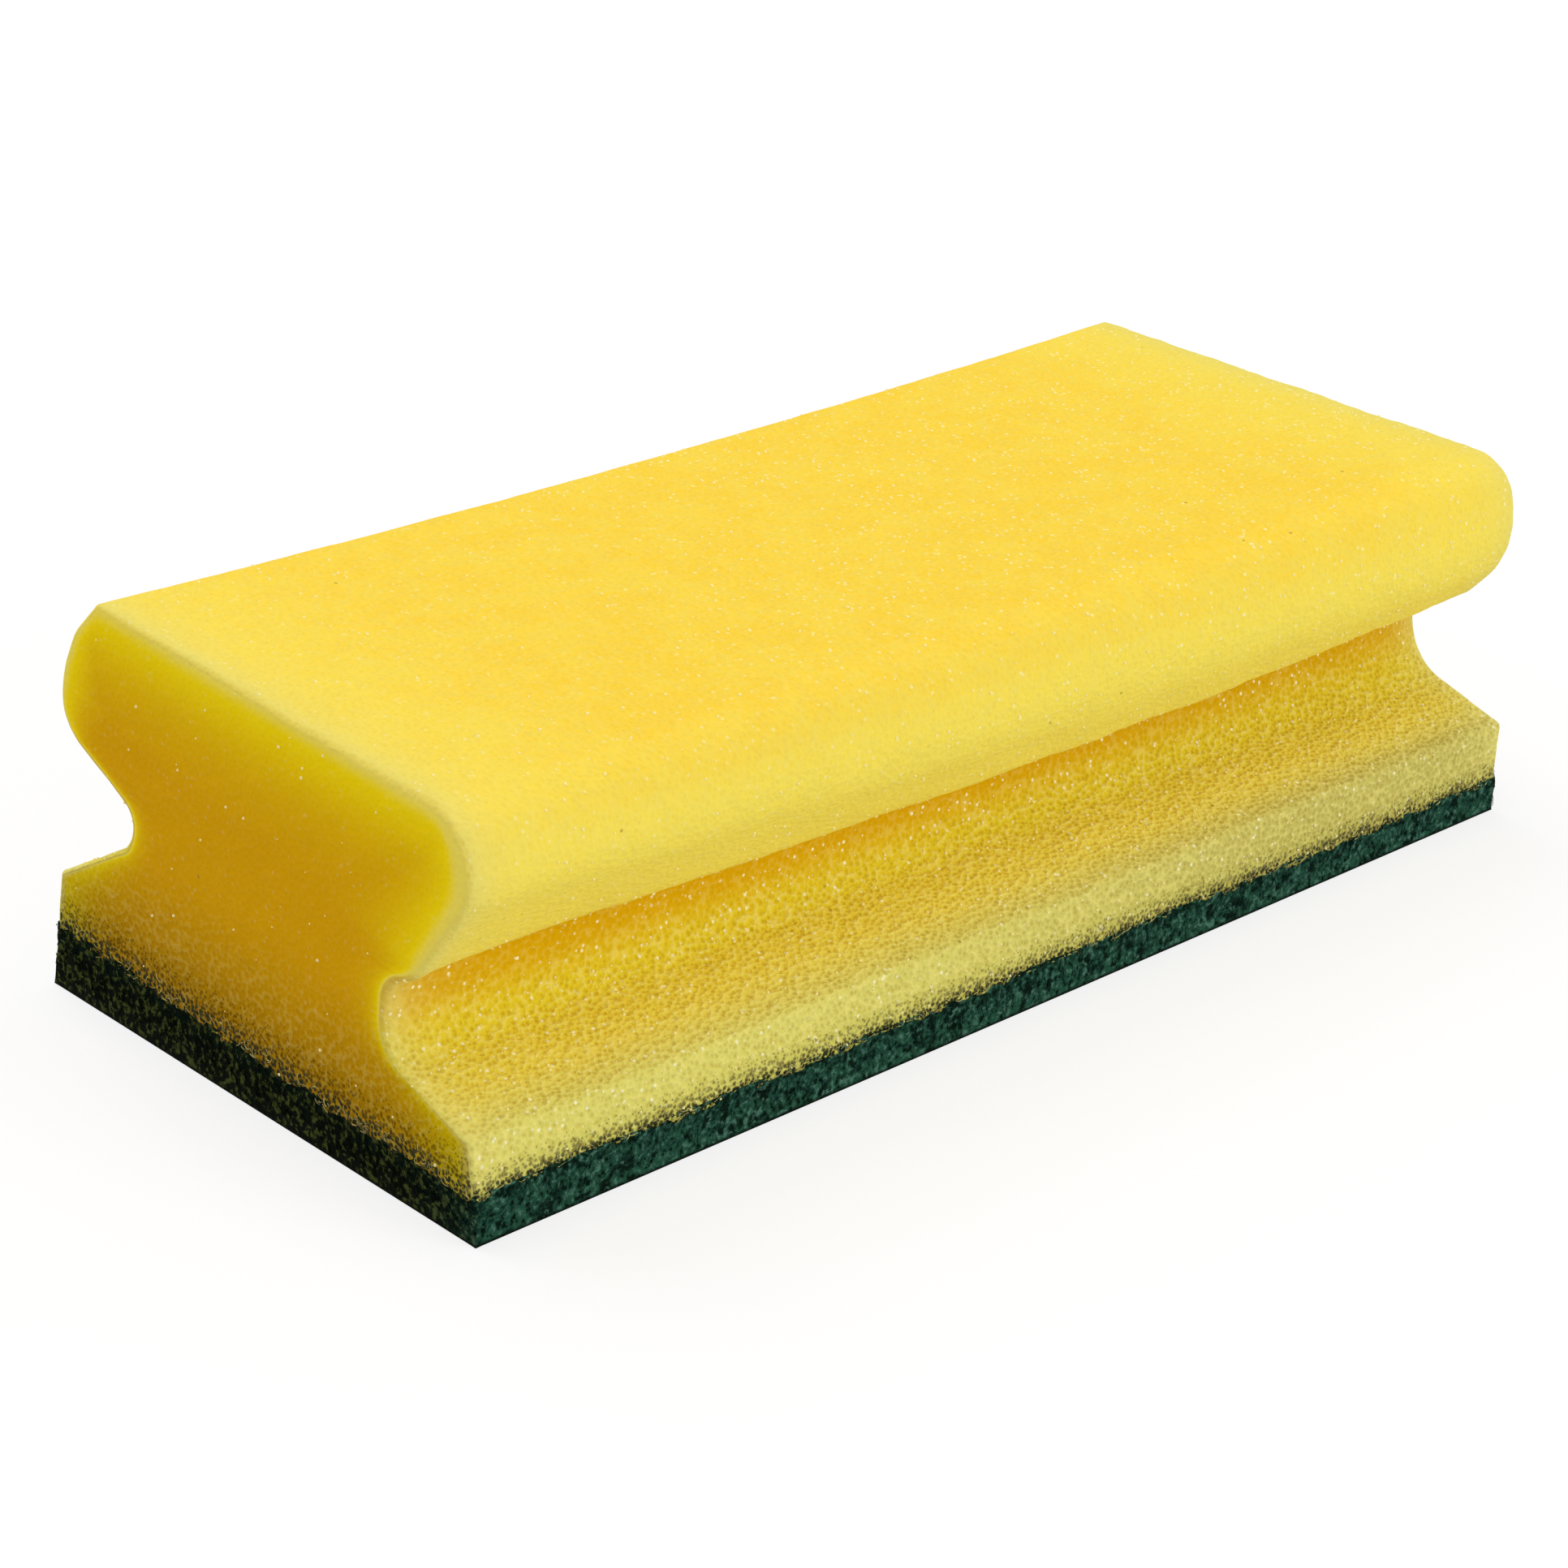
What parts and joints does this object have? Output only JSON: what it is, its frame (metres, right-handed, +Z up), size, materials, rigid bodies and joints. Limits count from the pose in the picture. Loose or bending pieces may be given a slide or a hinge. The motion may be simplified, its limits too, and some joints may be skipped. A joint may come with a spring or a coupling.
{
  "type": "cleaning sponge",
  "caption": "Oblong cleaning sponge: waisted foam grip block with a finger groove along each long side, on a flat fibre scouring pad.",
  "frame": {"origin": "middle of the scouring pad's underside, where the sponge stands on a table", "axes": "+X along the length and the finger grooves, +Y across the width, +Z up from the pad through the foam"},
  "size_m": [0.152, 0.068, 0.0442],
  "materials": {
    "yellow_foam": "matte open-cell polyether foam, faintly translucent, with bright cell glints",
    "green_scourer": "matte non-woven scouring fibre"
  },
  "bodies": {
    "root": {"foam_body": "yellow_foam", "scouring_pad": "green_scourer"}
  },
  "joints": []
}
